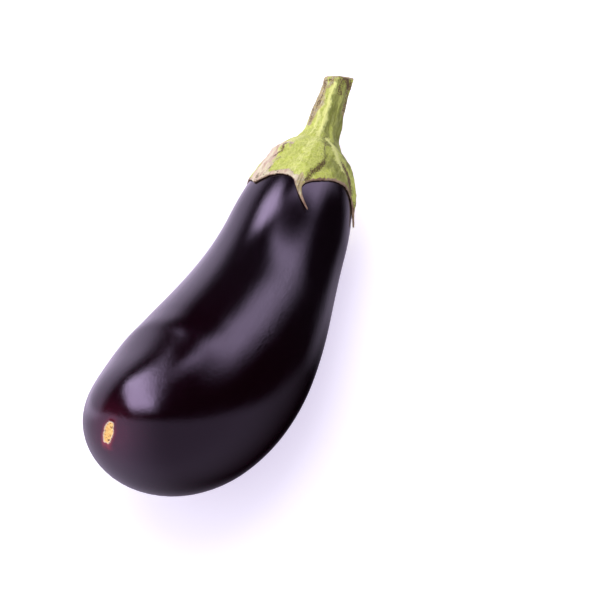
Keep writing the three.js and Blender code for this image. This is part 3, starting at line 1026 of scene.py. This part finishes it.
def mix_colours(tree, share, first, second):
    """Mixes two colours, each a colour or a socket, by a mask socket."""
    node = tree.nodes.new("ShaderNodeMix")
    node.data_type = "RGBA"
    tree.links.new(share, node.inputs["Factor"])
    ends = [socket for socket in node.inputs if socket.type == "RGBA"]
    for socket, colour in zip(ends, (first, second)):
        if isinstance(colour, bpy.types.NodeSocket):
            tree.links.new(colour, socket)
        else:
            socket.default_value = (*colour, 1)
    return next(socket for socket in node.outputs if socket.type == "RGBA")


def lay_over(tree, tone, colour, mask, strength=1.0):
    """Lays a colour over a tone where a mask says, as strongly as it says."""
    share = mask if strength == 1.0 else maths(tree, "MULTIPLY", mask, strength)
    return mix_colours(tree, share, tone, colour)


def maths(tree, operation, first, second, third=0.5, clamp=False):
    """A Math node on sockets or numbers."""
    node = add_node(tree, "ShaderNodeMath", operation=operation, use_clamp=clamp)
    for socket, value in zip(node.inputs, (first, second, third)):
        if isinstance(value, bpy.types.NodeSocket):
            tree.links.new(value, socket)
        else:
            socket.default_value = value
    return node.outputs[0]


def weighted_sum(tree, terms):
    """Adds up masks, each with its weight."""
    total = None
    for mask, weight in terms:
        part = maths(tree, "MULTIPLY", mask, weight)
        total = part if total is None else maths(tree, "ADD", total, part)
    return total


def smooth_mask(tree, value, low, high):
    """Goes smoothly from 0 to 1 while a socket's value goes from low to high."""
    edge = add_node(tree, "ShaderNodeMapRange", interpolation_type="SMOOTHSTEP")
    tree.links.new(value, edge.inputs["Value"])
    edge.inputs["From Min"].default_value = low
    edge.inputs["From Max"].default_value = high
    return edge.outputs["Result"]


def roughen(tree, shader, heights, strength, distance):
    """Gives a shader a bump from a mask of heights."""
    bump = add_node(tree, "ShaderNodeBump", Strength=strength, Distance=distance)
    tree.links.new(heights, bump.inputs["Height"])
    tree.links.new(bump.outputs["Normal"], shader.inputs["Normal"])


def read_attribute(tree, name, output="Fac"):
    """What the points of a piece hold under a name."""
    return add_node(tree, "ShaderNodeAttribute", attribute_name=name).outputs[output]


def stretched_place(tree, scale):
    """The piece's straight place, squeezed so that patterns run along it."""
    mapping = add_node(tree, "ShaderNodeMapping")
    mapping.inputs["Scale"].default_value = scale
    tree.links.new(read_attribute(tree, "straight_place", "Vector"), mapping.inputs["Vector"])
    return mapping.outputs["Vector"]


def skin_colour(tree, place, colours):
    """Near-black purple, redder on the belly and red round the blossom scar."""
    split = add_node(tree, "ShaderNodeSeparateXYZ")
    tree.links.new(place, split.inputs[0])
    neck = smooth_mask(tree, split.outputs["X"], low=0.05, high=0.13)
    skin = lay_over(tree, colours.belly, colours.skin, neck)
    clouds = add_mottle(tree, place, scale=70.0, low=0.2, high=0.8)
    cloudy = maths(tree, "MULTIPLY_ADD", clouds, 0.6, 0.5)
    glow = maths(tree, "MULTIPLY", read_attribute(tree, "halo"), cloudy, clamp=True)
    skin = lay_over(tree, skin, colours.blush, glow)
    return lay_over(tree, skin, colours.bruise, read_attribute(tree, "bruise"))


def scar_colour(tree, place, scar, colours):
    """Golden cork with dark specks, and pale along its torn edge."""
    grain = add_mottle(tree, place, scale=900.0, low=0.3, high=0.7)
    cork = lay_over(tree, colours.scar, colours.scar_pale, grain)
    specks = add_mottle(tree, place, scale=950.0, low=0.55, high=0.61)
    cork = lay_over(tree, cork, colours.scar_speck, specks)
    rim = maths(tree, "MULTIPLY", scar, maths(tree, "SUBTRACT", 1.0, scar))
    return lay_over(tree, cork, colours.scar_rim, maths(tree, "MULTIPLY", rim, 4.0, clamp=True))


def skin_material(colours):
    """Waxy near-black purple, with a red-brown glow and a corky scar at the blossom end."""
    material, tree, shader = new_material("eggplant_skin")
    place = read_attribute(tree, "straight_place", "Vector")
    scar = read_attribute(tree, "scar")
    skin, cork = skin_colour(tree, place, colours), scar_colour(tree, place, scar, colours)
    tree.links.new(lay_over(tree, skin, cork, scar), shader.inputs["Base Color"])
    streaks = add_mottle(tree, stretched_place(tree, (0.08, 1, 1)), scale=500.0, low=0.2, high=0.8)
    rough = add_node(tree, "ShaderNodeMix")
    tree.links.new(scar, rough.inputs["Factor"])
    tree.links.new(maths(tree, "MULTIPLY_ADD", streaks, 0.07, 0.13), rough.inputs["A"])
    rough.inputs["B"].default_value = 0.85
    tree.links.new(rough.outputs["Result"], shader.inputs["Roughness"])
    pores = add_node(tree, "ShaderNodeTexNoise", Scale=900.0, Detail=2.0)
    tree.links.new(place, pores.inputs["Vector"])
    scratches = add_mottle(tree, stretched_place(tree, (0.25, 1, 1)), scale=1500.0, low=0.45, high=0.6)
    scuffed = maths(tree, "MULTIPLY", read_attribute(tree, "scuff"), scratches)
    heights = weighted_sum(tree, ((pores.outputs["Fac"], 0.4), (streaks, 0.5), (scuffed, 2.5)))
    roughen(tree, shader, heights, strength=0.09, distance=0.0004)
    shader.inputs["Specular IOR Level"].default_value = 0.5
    shader.inputs["Specular Tint"].default_value = (*colours.sheen, 1)
    return material


def frayed(tree, name, fray, low, high, amount=0.5):
    """A mark whose edge, from low to high, is broken up by a mask."""
    stray = maths(tree, "MULTIPLY", maths(tree, "SUBTRACT", fray, 0.5), amount)
    return smooth_mask(tree, maths(tree, "ADD", read_attribute(tree, name), stray), low, high)


def calyx_material(colours):
    """Fibrous yellow-green, pale along the ribs, straw at the edges, brown in folds and at the cut; painted
    shade on the right, a painted highlight by the fold.
    """
    material, tree, shader = new_material("calyx_and_stem_green")
    place = read_attribute(tree, "straight_place", "Vector")
    fibres = add_mottle(tree, stretched_place(tree, (0.12, 1, 1)), scale=1100.0, low=0.3, high=0.7)
    streaks = add_mottle(tree, stretched_place(tree, (0.16, 1, 1)), scale=420.0, low=0.35, high=0.65)
    flecks = add_mottle(tree, stretched_place(tree, (0.5, 1, 1)), scale=1300.0, low=0.56, high=0.68)
    patches = add_mottle(tree, place, scale=240.0, low=0.35, high=0.65)
    cells = add_mottle(tree, place, scale=750.0, low=0.38, high=0.62)
    grit = add_mottle(tree, place, scale=1500.0, low=0.3, high=0.7)
    tone = lay_over(tree, colours.green, colours.mottle_and_shade_green, patches, strength=0.32)
    tone = lay_over(tree, tone, colours.pale_green, cells, strength=0.5)
    # Painted shade: darker green down the right-hand lobe and the right-hand side of the stem.
    tone = lay_over(tree, tone, colours.mottle_and_shade_green, frayed(tree, "painted_shade", streaks, low=0.2, high=0.9))
    tone = lay_over(tree, tone, colours.pale_green, fibres, strength=0.25)
    # Pale green along the ribs, and a painted highlight strip beside the fold.
    tone = lay_over(tree, tone, colours.pale_green, frayed(tree, "pale", fibres, low=0.25, high=0.85))
    tone = lay_over(tree, tone, colours.fleck, flecks, strength=0.22)
    straw = lay_over(tree, colours.straw, colours.dark_straw, streaks)
    tone = lay_over(tree, tone, straw, frayed(tree, "dry", cells, low=0.3, high=0.7, amount=0.7))
    paper = lay_over(tree, colours.pink_paper, colours.brown_paper, fibres)
    paper = lay_over(tree, colours.paper, paper, streaks)
    tone = lay_over(tree, tone, paper, frayed(tree, "paper", streaks, low=0.3, high=0.75))
    husk = lay_over(tree, colours.cork, colours.paper, fibres)
    husk = lay_over(tree, colours.husk, husk, cells)
    tone = lay_over(tree, tone, husk, frayed(tree, "husk", streaks, low=0.3, high=0.75))
    tone = lay_over(tree, tone, colours.cork, frayed(tree, "brown", grit, low=0.35, high=0.75, amount=0.9))
    wood = lay_over(tree, colours.wood, colours.dark_wood, cells, strength=0.6)
    tone = lay_over(tree, tone, wood, read_attribute(tree, "cut"))
    tree.links.new(tone, shader.inputs["Base Color"])
    shader.inputs["Roughness"].default_value = 0.55
    heights = weighted_sum(tree, ((fibres, 1.0), (cells, 0.8), (grit, 0.3)))
    roughen(tree, shader, heights, strength=0.7, distance=0.0005)
    return material


def floor_material(stage):
    """A plain white floor, lit from within a little, so that shadows on it stay pale."""
    material, tree, shader = new_material("pale_floor")
    coordinates = add_node(tree, "ShaderNodeTexCoord")
    grain = add_mottle(tree, coordinates.outputs["Object"], scale=30.0, low=0.2, high=0.8)
    tone = lay_over(tree, stage.floor_dark, stage.floor_light, grain)
    tree.links.new(tone, shader.inputs["Base Color"])
    shader.inputs["Roughness"].default_value = 0.9
    shader.inputs["Specular IOR Level"].default_value = 0.1
    shader.inputs["Emission Color"].default_value = (*stage.shadow_tint, 1)
    shader.inputs["Emission Strength"].default_value = stage.floor_glow
    return material


def camera_directions(stage):
    """The camera's right, up and back directions."""
    round_sine, round_cosine = math.sin(stage.azimuth), math.cos(stage.azimuth)
    level = math.cos(stage.elevation)
    back = Vector((round_sine * level, -round_cosine * level, math.sin(stage.elevation)))
    right = Vector((round_cosine, round_sine, 0))
    return right, back.cross(right), back


def camera_vector(axes, shares):
    """A vector, given by its shares of the camera's right, up and back directions."""
    return sum((axis * share for axis, share in zip(axes, shares)), Vector((0, 0, 0)))


def along_axis(tree, direction, axis):
    """How far a direction points along an axis."""
    dot = add_node(tree, "ShaderNodeVectorMath", operation="DOT_PRODUCT")
    tree.links.new(direction, dot.inputs[0])
    dot.inputs[1].default_value = axis
    return dot.outputs["Value"]


def card_light(tree, direction, card, axes):
    """How bright a card is in a direction of the sky."""
    light = None
    for line, low, high in card["edges"]:
        across = along_axis(tree, direction, camera_vector(axes, line))
        edge = smooth_mask(tree, across, low, high)
        light = edge if light is None else maths(tree, "MULTIPLY", light, edge)
    return maths(tree, "MULTIPLY", light, card["radiance"])


def studio_world(stage, axes, mirrored_tint):
    """A white sky for matt surfaces, brighter on the left, and the cards on black for the skin to mirror."""
    world = bpy.data.worlds.new("studio")
    world.use_nodes = True
    tree = world.node_tree
    sky = tree.nodes["Background"]
    direction = add_node(tree, "ShaderNodeTexCoord").outputs["Generated"]
    cards = None
    for card in CARDS:
        light = card_light(tree, direction, card, axes)
        cards = light if cards is None else maths(tree, "ADD", cards, light)
    glossy = add_node(tree, "ShaderNodeLightPath").outputs["Is Glossy Ray"]
    lean = maths(tree, "MULTIPLY", along_axis(tree, direction, axes[0]), stage.sky_lean)
    matt = maths(tree, "MULTIPLY", maths(tree, "SUBTRACT", 1.0, lean), stage.sky)
    even = maths(tree, "MULTIPLY", maths(tree, "SUBTRACT", 1.0, glossy), matt)
    total = maths(tree, "ADD", even, maths(tree, "MULTIPLY", glossy, cards))
    tree.links.new(lay_over(tree, stage.sky_tint, mirrored_tint, glossy), sky.inputs["Color"])
    tree.links.new(total, sky.inputs["Strength"])
    world.cycles.sampling_method = "NONE"
    return world


def add_camera(stage, axes):
    """Stands the camera in its place, and looks through it."""
    data = bpy.data.cameras.new("camera")
    data.lens = stage.lens
    data.clip_start = 10 * MM
    camera = bpy.data.objects.new("camera", data)
    bpy.context.scene.collection.objects.link(camera)
    turned = Matrix(axes).transposed().to_4x4()
    camera.matrix_world = Matrix.Translation(Vector(stage.eye)) @ turned
    bpy.context.scene.camera = camera


def lay_floor(stage):
    """Lays the floor, which the skin doesn't mirror."""
    start_clean()
    bpy.ops.mesh.primitive_plane_add(size=stage.floor_size, location=(0, 0, 0))
    floor = bpy.context.object
    floor.name = "floor"
    floor.data.materials.append(floor_material(stage))
    floor.visible_glossy = False


def add_key_light(stage, axes):
    """A square soft light, for matt surfaces alone."""
    data = bpy.data.lights.new("key_light", "AREA")
    data.shape = "RECTANGLE"
    data.size = stage.key_side
    data.size_y = stage.key_side
    data.energy = stage.key_radiance * math.pi * stage.key_side ** 2
    light = bpy.data.objects.new("key_light", data)
    bpy.context.scene.collection.objects.link(light)
    direction = camera_vector(axes, stage.key_towards).normalized()
    light.location = Vector(stage.key_target) + direction * stage.key_distance
    light.rotation_euler = direction.to_track_quat("Z", "Y").to_euler()
    light.visible_camera = False
    light.visible_glossy = False


class EGGPLANT_OT_set_stage(bpy.types.Operator):
    """Sets the camera, the plain floor, the sky and the soft light"""

    bl_idname = "eggplant.set_stage"
    bl_label = "Set the stage"

    def execute(self, context):
        stage = context.scene.eggplant_stage
        axes = camera_directions(stage)
        add_camera(stage, axes)
        lay_floor(stage)
        context.scene.world = studio_world(stage, axes, context.scene.eggplant_colours.mirrored)
        context.scene.view_settings.view_transform = "Standard"
        add_key_light(stage, axes)
        return {"FINISHED"}


class EGGPLANT_OT_model_fruit(bpy.types.Operator):
    """Models the fruit: spun, bent along its core, pressed with the blossom scar and flat where it rests"""

    bl_idname = "eggplant.model_fruit"
    bl_label = "Model the fruit"

    def execute(self, context):
        sizes = context.scene.eggplant_fruit
        length = core_length(sizes)
        fruit = spin_fruit(sizes, length)
        keep_straight_place(fruit)
        mark_scuffs(fruit)
        swell_skin(fruit)
        bend_along_core(fruit, sizes)
        unevenness(fruit, "skin_swells", sizes.unevenness, sizes.unevenness_size)
        press_scar(fruit, sizes, length)
        settle_on_floor(fruit)
        fruit.data.materials.append(skin_material(context.scene.eggplant_colours))
        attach(fruit, BODY)
        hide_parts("fruit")
        return {"FINISHED"}


class EGGPLANT_OT_model_calyx(bpy.types.Operator):
    """Models the calyx and the stem as one grown piece that sits on the fruit's shoulder"""

    bl_idname = "eggplant.model_calyx"
    bl_label = "Model the calyx and stem"

    def execute(self, context):
        fruit_sizes = context.scene.eggplant_fruit
        sizes = context.scene.eggplant_calyx
        length = core_length(fruit_sizes)
        calyx = grow_calyx(fruit_sizes, sizes, length)
        keep_straight_place(calyx)
        bend_along_core(calyx, fruit_sizes, beyond=sizes.stem_length * 1.2)
        settle_on_floor(calyx)
        calyx.data.materials.append(calyx_material(context.scene.eggplant_colours))
        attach(calyx, BODY)
        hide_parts("calyx_and_stem")
        return {"FINISHED"}


class EGGPLANT_PT_panel(bpy.types.Panel):
    """Lists the steps that model the eggplant"""

    bl_idname = "EGGPLANT_PT_panel"
    bl_label = "Eggplant"
    bl_space_type = "VIEW_3D"
    bl_region_type = "UI"
    bl_category = "Eggplant"

    def draw(self, context):
        for step in STEPS:
            self.layout.operator(step.bl_idname)


STEPS = (EGGPLANT_OT_set_stage, EGGPLANT_OT_model_fruit, EGGPLANT_OT_model_calyx)
GROUPS = {
    "eggplant_fruit": EggplantFruitSizes,
    "eggplant_calyx": EggplantCalyxSizes,
    "eggplant_colours": EggplantColours,
    "eggplant_stage": EggplantStage,
}


def register():
    for group in (*GROUPS.values(), *STEPS, EGGPLANT_PT_panel):
        bpy.utils.register_class(group)
    for name, group in GROUPS.items():
        setattr(bpy.types.Scene, name, PointerProperty(type=group))


def unregister():
    for name in GROUPS:
        delattr(bpy.types.Scene, name)
    for group in (EGGPLANT_PT_panel, *reversed(STEPS), *reversed(GROUPS.values())):
        bpy.utils.unregister_class(group)


def main():
    register()
    bpy.ops.eggplant.set_stage()
    bpy.ops.eggplant.model_fruit()
    bpy.ops.eggplant.model_calyx()


if __name__ == "__main__":
    main()
